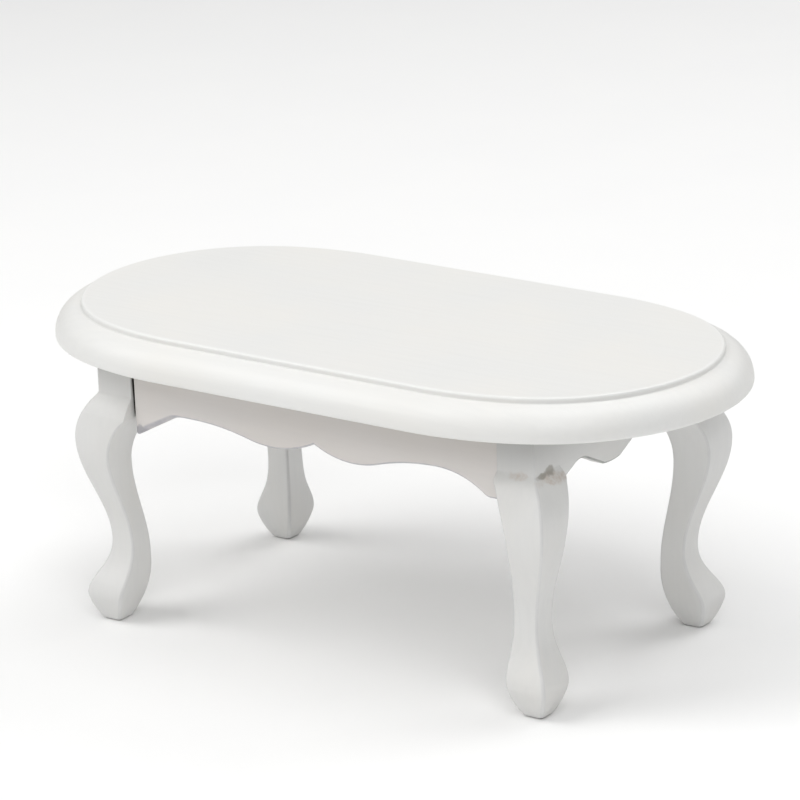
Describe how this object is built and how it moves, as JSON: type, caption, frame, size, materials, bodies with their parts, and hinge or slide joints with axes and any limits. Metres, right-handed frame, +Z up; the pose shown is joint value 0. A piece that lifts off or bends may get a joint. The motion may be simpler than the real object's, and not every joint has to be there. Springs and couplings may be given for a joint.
{
  "type": "miniature dining table",
  "caption": "White dolls house dining table: racetrack top with a moulded rim, scalloped aprons pegged between square posts, and cabriole legs.",
  "frame": {"origin": "on the floor under the middle of the table", "axes": "+X along the table's length, towards the right when facing the long side with the open joint; +Y across its width, away from that side; +Z up"},
  "size_m": [0.15, 0.0788, 0.0629],
  "materials": {
    "painted_top": "satin white paint on wood",
    "painted_leg": "satin white paint on wood",
    "painted_apron": "satin white paint on wood",
    "bare_peg": "bare birch"
  },
  "bodies": {
    "root": {"table_top": "painted_top", "leg_front_left": "painted_leg", "leg_front_right": "painted_leg", "leg_back_left": "painted_leg", "leg_back_right": "painted_leg", "long_apron_front": "painted_apron", "long_apron_back": "painted_apron", "end_apron_left": "painted_apron", "end_apron_right": "painted_apron", "long_peg_front_left": "bare_peg", "end_peg_front_left": "bare_peg", "long_peg_front_right": "bare_peg", "end_peg_front_right": "bare_peg", "long_peg_back_left": "bare_peg", "end_peg_back_left": "bare_peg", "long_peg_back_right": "bare_peg", "end_peg_back_right": "bare_peg"}
  },
  "joints": []
}
